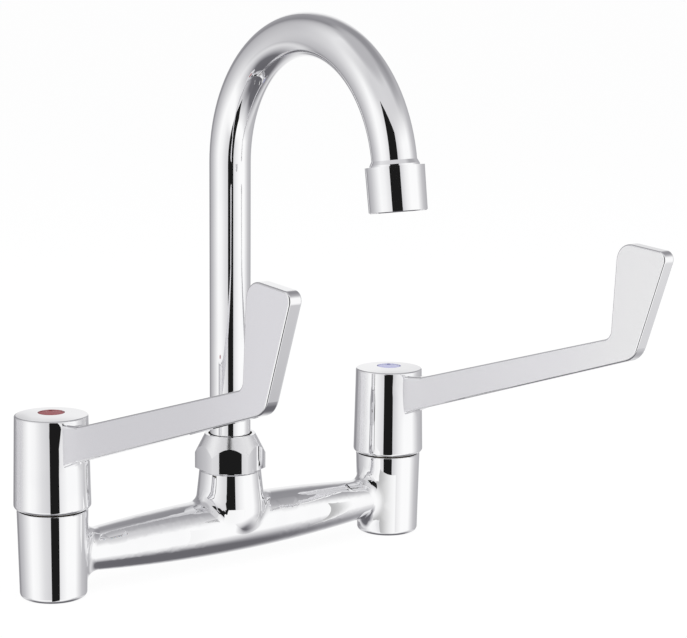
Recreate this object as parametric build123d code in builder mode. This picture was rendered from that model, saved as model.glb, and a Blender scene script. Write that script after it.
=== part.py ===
"""Deck-mounted bridge sink mixer with a swan-neck spout and elbow-action levers.

Two pillars stand on the deck at the pipe centres. A bellied cast bridge joins them, and its neck
carries a spout that swivels under a hexagon nut. Each pillar holds a quarter-turn ceramic valve,
worked by a lever that is cast in one with the pillar's cap.

Origin: on the deck, midway between the pillars. +X runs from the hot pillar to the cold one, -Y is
the user's side and +Z is up. Lengths are in millimetres, angles in degrees.
"""
from build123d import *
from math import cos, radians, sin, tan
import os

os.makedirs("parts", exist_ok=True)

# ---------------------------------------------------------------- driving dimensions

# Fits, all radial unless they say otherwise
running_gap = 0.06
seat_gap = 0.05
ring_gap = 0.03
sliding_disc_gap = 0.1

# How far a cut runs past the face that it opens
cut_overrun = 1.0

# Pillars
inlet_centres = 180.0
barrel_height = 37.6
barrel_foot_radius = 14.1
barrel_top_radius = 14.95
barrel_foot_fillet = 2.2
barrel_rim_fillet = 0.5

# Inlets for G 1/2 tails, taken at the thread's minor radius
inlet_radius = 9.32
inlet_depth = 11.0
seat_web = 2.5
seat_port_radius = 5.2

# Bridge
bridge_axis_height = 17.0
bridge_middle_radius = 12.6
bridge_end_radius = 7.0
bridge_fillet = 6.0
duct_middle_radius = 8.8
duct_end_radius = 3.4

# Neck of the bridge and the spigot that the spout nut screws on
neck_height = 42.2
neck_top_radius = 13.7
neck_root_radius = 15.5
neck_root_height = 25.0
neck_flare_angle = 7.1
neck_fillet = 6.0
neck_rim_chamfer = 0.5
spigot_radius = 12.0
spigot_length = 9.4
spigot_chamfer = 0.6
well_radius = 9.65
well_depth = 21.6
throat_radius = 6.0

# Gallery round each valve, where its water turns into the bridge
gallery_radius = 10.6
seat_rim_height = 1.3

# Quarter-turn valve, from its seat upwards
valve_bore_radius = 9.1
seat_seal_height = 2.7
seat_seal_bore = 5.7
seat_seal_stand = 1.1
disc_radius = 7.4
fixed_disc_thickness = 3.0
moving_disc_thickness = 2.8
port_inner_radius = 1.6
port_outer_radius = 5.6
port_angle = 84.0
disc_lug_width = 3.0
skirt_relief = 0.4
window_angle = 80.0
window_overlap = 0.4
thread_length = 10.0
valve_flange_radius = 12.6
valve_flange_thickness = 2.0
valve_hex_flats = 19.0
valve_hex_height = 8.0
valve_height = 18.4
valve_neck_radius = 8.0
body_ring_section = 0.7

# Spindle
spindle_foot_thickness = 2.9
stem_radius = 4.9
tang_width = 2.6
tang_depth = 1.2
stem_ring_section = 0.62
stem_ring_rise = 6.0
stem_ring_pitch = 5.2
groove_float = 0.3
clip_thickness = 1.0
clip_outer_radius = 6.4
clip_depth = 0.8
clip_opening = 60.0
spline_teeth = 20
spline_tip_radius = 4.0
spline_tooth_height = 0.4
spline_start = 2.2
spline_length = 11.6
stop_lug_radius = 6.4
stop_lug_height = 1.9
stop_lug_angle = 30.0
stop_gap = 0.2
stop_play_angle = 2.0
lever_turn = 90.0

# Cap of the handle
cap_gap = 0.6
cap_height = 39.4
cap_foot_radius = 16.25
cap_top_radius = 15.4
cap_foot_fillet = 1.6
cap_rim_fillet = 0.8
cap_crown = 1.1
cap_wall = 2.3
cap_roof = 4.0
boss_radius = 7.2
boss_clearance = 0.6
boss_web = 2.4

# Lever blade: heights are taken on the pillar's axis, reaches from it
lever_splay = 0.75
blade_thickness = 5.6
blade_edge_fillet = 0.8
arm_top_height = 69.65
arm_top_rise = 16.55
arm_bottom_height = 54.2
arm_bottom_rise = 18.05
root_reach = 26.5
root_thickness = 6.8
root_top_height = 76.0
root_bottom_height = 57.2
root_corner_radius = 1.2
heel_reach = 157.8
paddle_root_width = 13.6
paddle_back_lean = 2.5
paddle_front_lean = 20.0
paddle_height = 152.8
paddle_top_fall = 2.0
heel_radius = 10.0
crotch_radius = 4.5
paddle_back_radius = 7.5
paddle_front_radius = 3.5

# Index button and handle screw
index_radius = 5.5
index_recess_gap = 0.12
index_depth = 3.4
index_sink = 0.3
index_crown = 0.25
index_wall = 1.2
screw_radius = 2.0
screw_length = 9.0
screw_head_radius = 3.6
screw_head_height = 2.6
screw_well_radius = 4.4
screw_key_flats = 2.5
screw_key_depth = 1.4

# Spout
tube_radius = 9.0
tube_wall = 1.0
bend_height = 178.0
bend_radius = 56.5
bend_angle = 171.8
outlet_straight = 1.1

# Spout bush, brazed in the foot of the tube
bush_radius = 9.55
bush_bore = 6.0
bush_floor_gap = 0.5
bush_spigot_length = 8.0
bush_ring_section = 0.8
bush_ring_rise = 5.0
bush_ring_pitch = 5.5
snap_ring_thickness = 1.2
snap_ring_radius = 11.3
snap_ring_depth = 0.95
snap_ring_opening = 50.0
slip_washer_thickness = 0.6
slip_washer_radius = 11.6
slip_washer_bore = 9.75
stack_slack = 0.1

# Spout nut
nut_flats = 27.0
nut_height = 15.8
nut_base_gap = 0.3
nut_cone_height = 8.8
nut_top_radius = 11.1
nut_bore = 9.7
nut_thread_gap = 0.1
nut_turned = 35.5

# Outlet collar and aerator, measured along the flow from the housing's top face
collar_rise = 2.3
collar_flare = 0.9
collar_flare_length = 1.6
collar_thread_radius = 10.9
collar_thread_length = 6.0
tube_insert = 5.0
aerator_length = 17.9
aerator_top_radius = 11.8
aerator_mouth_radius = 11.6
aerator_mouth_chamfer = 0.4
aerator_step = 0.55
aerator_lip = 1.4
aerator_lip_depth = 0.8
washer_thickness = 1.8
washer_bore = 7.6
insert_flange = 1.2
insert_wall = 1.1
insert_plate = 2.0
cell_flats = 1.9
cell_pitch = 2.4
mesh_thickness = 0.4
mesh_hole = 1.3
mesh_pitch = 1.9

# ---------------------------------------------------------------- worked-out sizes

SIDES = {"hot": -1, "cold": 1}
along_row = (0, 180)
across_row = (90, 270)

# Heights in the pillars
seat_level = inlet_depth + seat_web
fixed_disc_base = seat_level + seat_seal_height
moving_disc_base = fixed_disc_base + fixed_disc_thickness
spindle_base = moving_disc_base + moving_disc_thickness
foot_top = spindle_base + spindle_foot_thickness
skirt_base = seat_level + seat_seal_stand
skirt_bore = disc_radius + sliding_disc_gap
skirt_radius = valve_bore_radius - skirt_relief
thread_start = barrel_height - thread_length
thread_radius = valve_bore_radius - seat_gap
stem_bore = stem_radius + running_gap
flange_top = barrel_height + valve_flange_thickness
valve_top = barrel_height + valve_height
clip_base = valve_top + 2 * running_gap
spline_base = valve_top + spline_start
spindle_top = spline_base + spline_length
spline_root_radius = spline_tip_radius - spline_tooth_height
clip_groove_radius = stem_radius - clip_depth

# Heights in the neck
well_floor = neck_height - well_depth + spigot_length
spigot_top = neck_height + spigot_length
snap_ring_base = spigot_top + slip_washer_thickness
upper_washer_base = snap_ring_base + snap_ring_thickness
nut_shoulder = upper_washer_base + slip_washer_thickness + stack_slack
nut_base = neck_height + nut_base_gap
tube_foot = nut_shoulder + stack_slack
tube_bore = tube_radius - tube_wall

# Seals, each squeezed between its groove and its bore
body_ring_radius = thread_radius + ring_gap + body_ring_section
body_ring_well_radius = body_ring_radius + body_ring_section + ring_gap
body_ring_well_depth = 2 * body_ring_section + ring_gap
body_ring_height = barrel_height - body_ring_well_depth / 2
stem_ring_radius = stem_bore - ring_gap - stem_ring_section
stem_groove_radius = stem_ring_radius - stem_ring_section - ring_gap
stem_groove_half = stem_ring_section + groove_float / 2
stem_ring_heights = [foot_top + stem_ring_rise + step * stem_ring_pitch for step in range(2)]
bush_ring_radius = well_radius - ring_gap - bush_ring_section
bush_groove_radius = bush_ring_radius - bush_ring_section - ring_gap
bush_groove_half = bush_ring_section + groove_float / 2
bush_ring_heights = [well_floor + bush_ring_rise + step * bush_ring_pitch for step in range(2)]
snap_groove_radius = bush_radius - snap_ring_depth

# Heights in the handles
cap_foot = barrel_height + cap_gap
cap_rim = cap_foot + cap_height
cap_top = cap_rim + cap_crown
cap_ceiling = cap_rim - cap_roof
boss_base = spline_base + boss_clearance
screw_seat = spindle_top + seat_gap + boss_web
index_ledge = cap_top - index_depth
screw_end = screw_seat - screw_length

# Inner corner of the lever, where its paddle turns up
crotch_reach = heel_reach - paddle_root_width

# Path of the spout, and the flow at its end
bend_end_angle = radians(bend_angle)
flow = Vector(0, -sin(bend_end_angle), cos(bend_end_angle))
bend_reach = bend_radius * (1 - cos(bend_end_angle))
bend_end = Vector(0, -bend_reach, bend_height + bend_radius * sin(bend_end_angle))
outlet_point = bend_end + flow * outlet_straight
outlet_axis = Axis(outlet_point, flow)
outlet_plane = Plane(origin=outlet_point, x_dir=(1, 0, 0), z_dir=Vector(1, 0, 0).cross(flow))

# ---------------------------------------------------------------- helpers


def upright(x):
    """The upright plane through a pillar's axis: local x is a radius and local y a height."""
    return Plane(origin=(x, 0, 0), x_dir=(1, 0, 0), z_dir=(0, -1, 0))


def level(x, height):
    """The level plane across a pillar at a height, centred on the pillar's axis."""
    return Plane(origin=(x, 0, height))


def pillar_axis(x):
    """A pillar's upright axis."""
    return Axis((x, 0, 0), (0, 0, 1))


def turned(plane, axis, *corners):
    """A piece turned about an axis, from the corners of its half section."""
    with BuildPart() as piece:
        with BuildSketch(plane):
            with BuildLine():
                Polyline(*corners, close=True)
            make_face()
        revolve(axis=axis)
    return piece.part


def o_rings(x, centre_radius, section, heights):
    """Round seals about a pillar's axis, one at each height."""
    with BuildPart() as seals:
        with BuildSketch(upright(x)):
            with Locations(*[(centre_radius, height) for height in heights]):
                Circle(section)
        revolve(axis=pillar_axis(x))
    return seals


def sector(inner, outer, middle_angle, angle):
    """A ring sector, as a sketch about its own origin."""
    start = middle_angle - angle / 2
    with BuildSketch() as shape:
        with BuildLine():
            outer_arc = CenterArc((0, 0), outer, start, angle)
            inner_arc = CenterArc((0, 0), inner, start, angle)
            Line(outer_arc @ 0, inner_arc @ 0)
            Line(outer_arc @ 1, inner_arc @ 1)
        make_face()
    return shape.sketch


def splines(tip_radius, root_radius):
    """The outline of the splined shaft, or of the broach for it."""
    tooth_width = radians(180 / spline_teeth) * tip_radius
    with BuildSketch() as shape:
        Circle(root_radius)
        with PolarLocations((tip_radius + root_radius) / 2 - tip_radius / 4, spline_teeth):
            Rectangle(tip_radius - root_radius + tip_radius / 2, tooth_width)
        Circle(tip_radius, mode=Mode.INTERSECT)
    return shape.sketch


def save(piece, name):
    """Labels a finished piece and writes it."""
    piece.part.label = name
    export_step(piece.part, f"parts/{name}.step")


# ---------------------------------------------------------------- bridge casting


def bellied_outline(end_radius, middle_radius, half_length):
    """Half section of a bar that swells towards its middle, along the bridge's axis."""
    full_length = inlet_centres / 2
    with BuildSketch(Plane.XZ) as outline:
        with BuildLine():
            ThreePointArc(
                (-full_length, bridge_axis_height + end_radius),
                (0, bridge_axis_height + middle_radius),
                (full_length, bridge_axis_height + end_radius),
            )
            Polyline(
                (-full_length, bridge_axis_height + end_radius),
                (-full_length, bridge_axis_height),
                (full_length, bridge_axis_height),
                (full_length, bridge_axis_height + end_radius),
            )
        make_face()
        with Locations((0, bridge_axis_height)):
            Rectangle(2 * half_length, 4 * middle_radius, mode=Mode.INTERSECT)
    return outline.sketch


def neck_outline():
    """Half section of the neck: a flared cone that runs into a round root inside the bridge."""
    with BuildSketch(Plane.XZ) as outline:
        with BuildLine():
            root = CenterArc((0, neck_root_height), neck_root_radius, -90, 90 + neck_flare_angle)
            Polyline(
                root @ 1,
                (neck_top_radius, neck_height - neck_rim_chamfer),
                (neck_top_radius - neck_rim_chamfer, neck_height),
                (0, neck_height),
                root @ 0,
            )
        make_face()
    return outline.sketch


bridge_axis = Axis((0, 0, bridge_axis_height), (1, 0, 0))
half_centres = inlet_centres / 2

with BuildPart() as bridge_body:
    revolve(bellied_outline(bridge_end_radius, bridge_middle_radius, half_centres), axis=bridge_axis)
    # barrels, blended into the ends of the bridge
    for turn in SIDES.values():
        pillar_x = turn * half_centres
        with BuildSketch(upright(pillar_x)):
            with BuildLine():
                Polyline(
                    (0, 0),
                    (barrel_foot_radius, 0),
                    (barrel_top_radius, barrel_height),
                    (0, barrel_height),
                    close=True,
                )
            make_face()
        revolve(axis=pillar_axis(pillar_x))
        fillet(bridge_body.edges(Select.NEW), bridge_fillet)
    rims = bridge_body.edges().filter_by(GeomType.CIRCLE).group_by(Axis.Z)
    fillet(rims[0], barrel_foot_fillet)
    fillet(rims[-1], barrel_rim_fillet)
    # neck, blended into the top of the bridge
    revolve(neck_outline(), axis=Axis.Z)
    fillet(bridge_body.edges(Select.NEW), neck_fillet)
    # threaded spigot for the spout nut
    with BuildSketch(Plane.XY.offset(neck_height)):
        Circle(spigot_radius)
    extrude(amount=spigot_length)
    chamfer(bridge_body.edges().group_by(Axis.Z)[-1], spigot_chamfer)
    # duct from valve to valve, the well for the spout and the throat between them
    duct_half_length = half_centres - gallery_radius + seat_gap
    duct = bellied_outline(duct_end_radius, duct_middle_radius, duct_half_length)
    revolve(duct, axis=bridge_axis, mode=Mode.SUBTRACT)
    with BuildSketch(Plane.XY.offset(bridge_axis_height)):
        Circle(throat_radius)
    extrude(amount=spigot_top - bridge_axis_height, mode=Mode.SUBTRACT)
    with BuildSketch(Plane.XY.offset(well_floor)):
        Circle(well_radius)
    extrude(amount=spigot_top - well_floor, mode=Mode.SUBTRACT)
    # inlet, seat port, valve chamber and seal well in each barrel, from the foot up
    for turn in SIDES.values():
        pillar_x = turn * half_centres
        bores = turned(
            upright(pillar_x),
            pillar_axis(pillar_x),
            (0, 0),
            (inlet_radius, 0),
            (inlet_radius, inlet_depth),
            (seat_port_radius, inlet_depth),
            (seat_port_radius, seat_level),
            (valve_bore_radius, seat_level),
            (valve_bore_radius, seat_level + seat_rim_height),
            (gallery_radius, seat_level + seat_rim_height),
            (gallery_radius, thread_start - seat_rim_height),
            (valve_bore_radius, thread_start - seat_rim_height),
            (valve_bore_radius, barrel_height - body_ring_well_depth),
            (body_ring_well_radius, barrel_height - body_ring_well_depth),
            (body_ring_well_radius, barrel_height),
            (0, barrel_height),
        )
        add(bores, mode=Mode.SUBTRACT)
save(bridge_body, "bridge_body")

# ---------------------------------------------------------------- valves


def valve_body(x, turn):
    """The headwork: a screwed brass body with a skirt round the discs and a hexagon above."""
    with BuildPart() as body:
        add(
            turned(
                upright(x),
                pillar_axis(x),
                (0, skirt_base),
                (skirt_radius, skirt_base),
                (skirt_radius, thread_start),
                (thread_radius, thread_start),
                (thread_radius, barrel_height),
                (valve_flange_radius, barrel_height),
                (valve_flange_radius, flange_top),
                (valve_neck_radius, flange_top),
                (valve_neck_radius, valve_top),
                (0, valve_top),
            )
        )
        with BuildSketch(level(x, flange_top)):
            RegularPolygon(valve_hex_flats / 2, 6, major_radius=False)
        extrude(amount=valve_hex_height)
        # room for the discs and the bore for the stem
        with BuildSketch(level(x, skirt_base)):
            Circle(skirt_bore)
        extrude(amount=foot_top + running_gap - skirt_base, mode=Mode.SUBTRACT)
        with BuildSketch(level(x, skirt_base)):
            Circle(stem_bore)
        extrude(amount=valve_top - skirt_base, mode=Mode.SUBTRACT)
        # side windows for the water, and slots for the fixed disc's lugs
        with BuildSketch(level(x, moving_disc_base - window_overlap)):
            for bearing in along_row:
                add(sector(skirt_bore - cut_overrun, skirt_radius + cut_overrun, bearing, window_angle))
        extrude(amount=moving_disc_thickness + 2 * window_overlap, mode=Mode.SUBTRACT)
        with BuildSketch(level(x, skirt_base)):
            Rectangle(disc_lug_width + 2 * seat_gap, 2 * (skirt_radius + cut_overrun))
        extrude(amount=moving_disc_base - skirt_base, mode=Mode.SUBTRACT)
        # recess in the top that stops the spindle's lug at shut and at full flow
        travel = lever_turn + stop_lug_angle + 2 * stop_play_angle
        middle = -90 + turn * lever_turn / 2
        with BuildSketch(level(x, valve_top - stop_lug_height - stop_gap)):
            add(sector(stem_radius - cut_overrun, stop_lug_radius + stop_gap, middle, travel))
        extrude(amount=stop_lug_height + stop_gap, mode=Mode.SUBTRACT)
    return body


def valve_spindle(x):
    """The spindle: disc foot with a drive tang, grooved stem, stop lug and splined head."""
    with BuildPart() as spindle:
        with BuildSketch(level(x, spindle_base)):
            Circle(disc_radius)
        extrude(amount=spindle_foot_thickness)
        with BuildSketch(level(x, spindle_base - tang_depth)):
            Rectangle(2 * disc_radius, tang_width)
            Circle(disc_radius, mode=Mode.INTERSECT)
        extrude(amount=tang_depth)
        with BuildSketch(level(x, foot_top)):
            Circle(stem_radius)
        extrude(amount=spline_base - foot_top)
        with BuildSketch(level(x, spline_base)):
            add(splines(spline_tip_radius, spline_root_radius))
        extrude(amount=spline_length)
        with BuildSketch(level(x, valve_top - stop_lug_height)):
            add(sector(spline_root_radius, stop_lug_radius, -90, stop_lug_angle))
        extrude(amount=stop_lug_height - running_gap)
        # grooves for the O-rings and the circlip, and the tapped hole for the handle screw
        grooves = [
            (stem_groove_radius, height - stem_groove_half, height + stem_groove_half)
            for height in stem_ring_heights
        ]
        clip_top = clip_base + clip_thickness
        grooves.append((clip_groove_radius, clip_base - running_gap, clip_top + running_gap))
        for groove_radius, low, high in grooves:
            with BuildSketch(level(x, low)):
                Circle(stem_radius + cut_overrun)
                Circle(groove_radius, mode=Mode.SUBTRACT)
            extrude(amount=high - low, mode=Mode.SUBTRACT)
        with BuildSketch(level(x, screw_end - screw_radius)):
            Circle(screw_radius + seat_gap)
        extrude(amount=spindle_top - screw_end + screw_radius, mode=Mode.SUBTRACT)
    return spindle


def spindle_circlip(x):
    """The open clip over the valve body that keeps the spindle up."""
    with BuildPart() as clip:
        with BuildSketch(level(x, clip_base)):
            add(sector(clip_groove_radius + seat_gap, clip_outer_radius, 90, 360 - clip_opening))
        extrude(amount=clip_thickness)
    return clip


def moving_disc(x):
    """The upper ceramic disc: two openings in its rim, and a slot across for the spindle's tang."""
    with BuildPart() as disc:
        with BuildSketch(level(x, moving_disc_base)):
            Circle(disc_radius)
            for bearing in across_row:
                notch = sector(port_inner_radius, disc_radius + cut_overrun, bearing, port_angle)
                add(notch, mode=Mode.SUBTRACT)
        extrude(amount=moving_disc_thickness)
        with BuildSketch(level(x, spindle_base - tang_depth)):
            Rectangle(2 * (disc_radius + cut_overrun), tang_width + 2 * seat_gap)
        extrude(amount=tang_depth, mode=Mode.SUBTRACT)
    return disc


def fixed_disc(x):
    """The lower ceramic disc: two ports, and two lugs that key it to the valve body."""
    with BuildPart() as disc:
        with BuildSketch(level(x, fixed_disc_base)):
            Circle(disc_radius)
            Rectangle(disc_lug_width, 2 * (skirt_radius - seat_gap))
            for bearing in along_row:
                port = sector(port_inner_radius, port_outer_radius, bearing, port_angle)
                add(port, mode=Mode.SUBTRACT)
        extrude(amount=fixed_disc_thickness)
    return disc


def seat_seal(x):
    """The rubber ring that the fixed disc is pressed on."""
    with BuildPart() as seal:
        with BuildSketch(level(x, seat_level)):
            Circle(disc_radius)
            Circle(seat_seal_bore, mode=Mode.SUBTRACT)
        extrude(amount=seat_seal_height)
    return seal


# ---------------------------------------------------------------- handles


def arm_top(reach):
    """Height of the lever arm's top edge at a reach from the pillar's axis."""
    return arm_top_height + reach * tan(radians(arm_top_rise))


def arm_bottom(reach):
    """Height of the lever arm's bottom edge at a reach from the pillar's axis."""
    return arm_bottom_height + reach * tan(radians(arm_bottom_rise))


def lever_plane(x, turn):
    """The upright plane of a lever at rest: local x is the reach and local y the height."""
    splay = radians(lever_splay)
    outward = Vector(turn * sin(splay), -cos(splay), 0)
    return Plane(origin=(x, 0, 0), x_dir=outward, z_dir=outward.cross(Vector(0, 0, 1)))


def blade(side_plane):
    """The flat lever: a rising arm that tapers, then turns up into a paddle that widens."""
    blade_start = cap_top_radius - cap_wall
    heel = (heel_reach, arm_bottom(heel_reach))
    crotch = (crotch_reach, arm_top(crotch_reach))
    back_top = (crotch_reach + paddle_back_lean, paddle_height)
    front_height = paddle_height - paddle_top_fall
    front_top = (heel_reach + (front_height - heel[1]) * tan(radians(paddle_front_lean)), front_height)
    with BuildPart() as lever:
        with BuildSketch(side_plane) as outline:
            with BuildLine():
                Polyline(
                    (blade_start, arm_bottom(blade_start)),
                    heel,
                    front_top,
                    back_top,
                    crotch,
                    (blade_start, arm_top(blade_start)),
                    close=True,
                )
            make_face()
            for corner, radius in (
                (heel, heel_radius),
                (front_top, paddle_front_radius),
                (back_top, paddle_back_radius),
                (crotch, crotch_radius),
            ):
                fillet(outline.vertices().sort_by_distance((*corner, 0))[0], radius)
        extrude(amount=blade_thickness / 2, both=True)
        half = blade_thickness / 2 - seat_gap
        rims = lever.edges().filter_by(
            lambda edge: abs(side_plane.to_local_coords(edge.center()).Z) > half
        )
        fillet(rims, blade_edge_fillet)
    return lever.part


def blade_root(side_plane):
    """The thickened root that runs from the cap's wall out to the flat blade."""
    start = cap_top_radius - cap_wall
    stations = [
        (start, root_bottom_height, root_top_height, root_thickness),
        (root_reach, arm_bottom(root_reach), arm_top(root_reach), blade_thickness),
    ]
    with BuildPart() as root:
        for reach, low, high, thickness in stations:
            middle = side_plane.from_local_coords(Vector(reach, (low + high) / 2, 0))
            with BuildSketch(Plane(origin=middle, x_dir=side_plane.z_dir, z_dir=side_plane.x_dir)):
                RectangleRounded(thickness, high - low, root_corner_radius)
        loft()
    return root.part


def handle(x, turn):
    """Cap and lever in one casting, hollow below, with a broached boss over the spindle."""
    side_plane = lever_plane(x, turn)
    with BuildPart() as casting:
        with BuildSketch(upright(x)):
            with BuildLine():
                Polyline(
                    (cap_top_radius, cap_rim),
                    (cap_foot_radius, cap_foot),
                    (0, cap_foot),
                    (0, cap_top),
                )
                crown_radius = (cap_top_radius**2 + cap_crown**2) / (2 * cap_crown)
                RadiusArc((0, cap_top), (cap_top_radius, cap_rim), crown_radius)
            make_face()
        revolve(axis=pillar_axis(x))
        rims = casting.edges().filter_by(lambda edge: edge.is_closed).group_by(Axis.Z)
        fillet(rims[0], cap_foot_fillet)
        fillet(rims[-1], cap_rim_fillet)
        add(blade(side_plane))
        add(blade_root(side_plane))
        # hollow of the cap round the boss
        cavity = turned(
            upright(x),
            pillar_axis(x),
            (0, cap_foot - cut_overrun),
            (cap_foot_radius - cap_wall, cap_foot - cut_overrun),
            (cap_top_radius - cap_wall, cap_ceiling),
            (boss_radius, cap_ceiling),
            (boss_radius, boss_base),
            (0, boss_base),
        )
        add(cavity, mode=Mode.SUBTRACT)
        # broach, screw hole, screw well and index recess
        with BuildSketch(level(x, boss_base)):
            add(splines(spline_tip_radius + seat_gap, spline_root_radius + seat_gap))
        extrude(amount=spindle_top + seat_gap - boss_base, mode=Mode.SUBTRACT)
        wells = [
            (screw_radius + seat_gap, spindle_top, cap_top),
            (screw_well_radius, screw_seat, cap_top),
            (index_radius + index_recess_gap, index_ledge, cap_top + cut_overrun),
        ]
        for well, low, high in wells:
            with BuildSketch(level(x, low)):
                Circle(well)
            extrude(amount=high - low, mode=Mode.SUBTRACT)
    return casting


def index_button(x):
    """The coloured button pressed in over the handle screw, hollow under its slightly domed face."""
    button_top = cap_top - index_sink
    with BuildPart() as button:
        with BuildSketch(upright(x)):
            with BuildLine():
                Polyline(
                    (index_radius, button_top - index_crown),
                    (index_radius, index_ledge),
                    (index_radius - index_wall, index_ledge),
                    (index_radius - index_wall, button_top - index_crown - index_wall),
                    (0, button_top - index_crown - index_wall),
                    (0, button_top),
                )
                face_radius = (index_radius**2 + index_crown**2) / (2 * index_crown)
                RadiusArc((0, button_top), (index_radius, button_top - index_crown), face_radius)
            make_face()
        revolve(axis=pillar_axis(x))
    return button


def handle_screw(x):
    """The screw that pulls the handle down on the spindle."""
    with BuildPart() as screw:
        with BuildSketch(level(x, screw_end)):
            Circle(screw_radius)
        extrude(amount=screw_seat - screw_end)
        with BuildSketch(level(x, screw_seat)):
            Circle(screw_head_radius)
        extrude(amount=screw_head_height)
        with BuildSketch(level(x, screw_seat + screw_head_height)):
            RegularPolygon(screw_key_flats / 2, 6, major_radius=False)
        extrude(amount=-screw_key_depth, mode=Mode.SUBTRACT)
    return screw


for side, turn in SIDES.items():
    pillar_x = turn * half_centres
    body_ring = o_rings(pillar_x, body_ring_radius, body_ring_section, [body_ring_height])
    stem_rings = o_rings(pillar_x, stem_ring_radius, stem_ring_section, stem_ring_heights)
    save(valve_body(pillar_x, turn), f"{side}_valve_body")
    save(body_ring, f"{side}_valve_body_o_ring")
    save(seat_seal(pillar_x), f"{side}_seat_seal")
    save(fixed_disc(pillar_x), f"{side}_fixed_disc")
    save(moving_disc(pillar_x), f"{side}_moving_disc")
    save(valve_spindle(pillar_x), f"{side}_valve_spindle")
    save(stem_rings, f"{side}_spindle_o_rings")
    save(spindle_circlip(pillar_x), f"{side}_spindle_circlip")
    save(handle(pillar_x, turn), f"{side}_handle")
    save(handle_screw(pillar_x), f"{side}_handle_screw")
    save(index_button(pillar_x), f"{side}_index_button")

# ---------------------------------------------------------------- spout

with BuildPart() as spout_tube:
    with BuildLine(Plane.YZ):
        column = Line((0, tube_foot), (0, bend_height))
        bend = JernArc(start=column @ 1, tangent=column % 1, radius=bend_radius, arc_size=bend_angle)
        Line(bend @ 1, bend @ 1 + (bend % 1) * (outlet_straight + tube_insert))
    with BuildSketch(Plane.XY.offset(tube_foot)):
        Circle(tube_radius)
        Circle(tube_bore, mode=Mode.SUBTRACT)
    sweep()
save(spout_tube, "spout_tube")

# The bush is turned from bar: grooves for two O-rings and the snap ring, and a spigot in the tube
with BuildPart() as spout_bush:
    bush_foot = well_floor + bush_floor_gap
    with BuildSketch(Plane.XY.offset(bush_foot)):
        Circle(bush_radius)
    extrude(amount=tube_foot - bush_foot)
    with BuildSketch(Plane.XY.offset(tube_foot)):
        Circle(tube_bore - seat_gap)
    extrude(amount=bush_spigot_length)
    bush_grooves = [
        (bush_groove_radius, height - bush_groove_half, height + bush_groove_half)
        for height in bush_ring_heights
    ]
    snap_ring_top = snap_ring_base + snap_ring_thickness
    bush_grooves.append((snap_groove_radius, snap_ring_base - running_gap, snap_ring_top + running_gap))
    for groove_radius, low, high in bush_grooves:
        with BuildSketch(Plane.XY.offset(low)):
            Circle(bush_radius + cut_overrun)
            Circle(groove_radius, mode=Mode.SUBTRACT)
        extrude(amount=high - low, mode=Mode.SUBTRACT)
    with BuildSketch(Plane.XY.offset(bush_foot)):
        Circle(bush_bore)
    extrude(amount=tube_foot + bush_spigot_length - bush_foot, mode=Mode.SUBTRACT)
save(spout_bush, "spout_bush")

save(o_rings(0, bush_ring_radius, bush_ring_section, bush_ring_heights), "spout_o_rings")

with BuildPart() as spout_snap_ring:
    with BuildSketch(Plane.XY.offset(snap_ring_base)):
        add(sector(snap_groove_radius + seat_gap, snap_ring_radius, 90, 360 - snap_ring_opening))
    extrude(amount=snap_ring_thickness)
save(spout_snap_ring, "spout_snap_ring")

with BuildPart() as spout_slip_washers:
    for washer_base in (spigot_top, upper_washer_base):
        with BuildSketch(Plane.XY.offset(washer_base)):
            Circle(slip_washer_radius)
            Circle(slip_washer_bore, mode=Mode.SUBTRACT)
        extrude(amount=slip_washer_thickness)
save(spout_slip_washers, "spout_slip_washers")

with BuildPart() as spout_nut:
    nut_top = nut_base + nut_height
    corner_radius = nut_flats / 2 / cos(radians(30))
    with BuildSketch(Plane.XY.offset(nut_base)):
        RegularPolygon(nut_flats / 2, 6, major_radius=False, rotation=-60 - nut_turned)
    extrude(amount=nut_height)
    with BuildSketch(Plane.XZ):
        with BuildLine():
            Polyline(
                (0, nut_base),
                (corner_radius, nut_base),
                (corner_radius, nut_top - nut_cone_height),
                (nut_top_radius, nut_top),
                (0, nut_top),
                close=True,
            )
        make_face()
    revolve(axis=Axis.Z, mode=Mode.INTERSECT)
    for bore_radius, high in ((spigot_radius + nut_thread_gap, nut_shoulder), (nut_bore, nut_top)):
        with BuildSketch(Plane.XY.offset(nut_base)):
            Circle(bore_radius)
        extrude(amount=high - nut_base, mode=Mode.SUBTRACT)
save(spout_nut, "spout_nut")

# ---------------------------------------------------------------- outlet

collar_bore = tube_radius + seat_gap
collar_radius = tube_radius + collar_flare
washer_end = collar_thread_length + washer_thickness
housing_step = washer_end + insert_flange
aerator_thread_bore = collar_thread_radius + seat_gap
aerator_step_radius = aerator_thread_bore - aerator_step
aerator_lip_bore = aerator_step_radius - aerator_lip_depth
insert_radius = aerator_step_radius - seat_gap
insert_end = aerator_length - aerator_lip - seat_gap
insert_bore = insert_radius - insert_wall
plate_start = insert_end - insert_plate

with BuildPart() as outlet_collar:
    add(
        turned(
            outlet_plane,
            outlet_axis,
            (collar_bore, -collar_rise),
            (collar_bore + seat_gap, -collar_rise),
            (collar_radius, collar_flare_length - collar_rise),
            (collar_radius, 0),
            (collar_thread_radius, 0),
            (collar_thread_radius, collar_thread_length),
            (collar_bore, collar_thread_length),
        )
    )
save(outlet_collar, "outlet_collar")

with BuildPart() as aerator_housing:
    add(
        turned(
            outlet_plane,
            outlet_axis,
            (aerator_thread_bore, 0),
            (aerator_top_radius, 0),
            (aerator_mouth_radius, aerator_length - aerator_mouth_chamfer),
            (aerator_mouth_radius - aerator_mouth_chamfer, aerator_length),
            (aerator_lip_bore, aerator_length),
            (aerator_lip_bore, aerator_length - aerator_lip),
            (aerator_step_radius, aerator_length - aerator_lip),
            (aerator_step_radius, housing_step),
            (aerator_thread_bore, housing_step),
        )
    )
save(aerator_housing, "aerator_housing")

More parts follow.
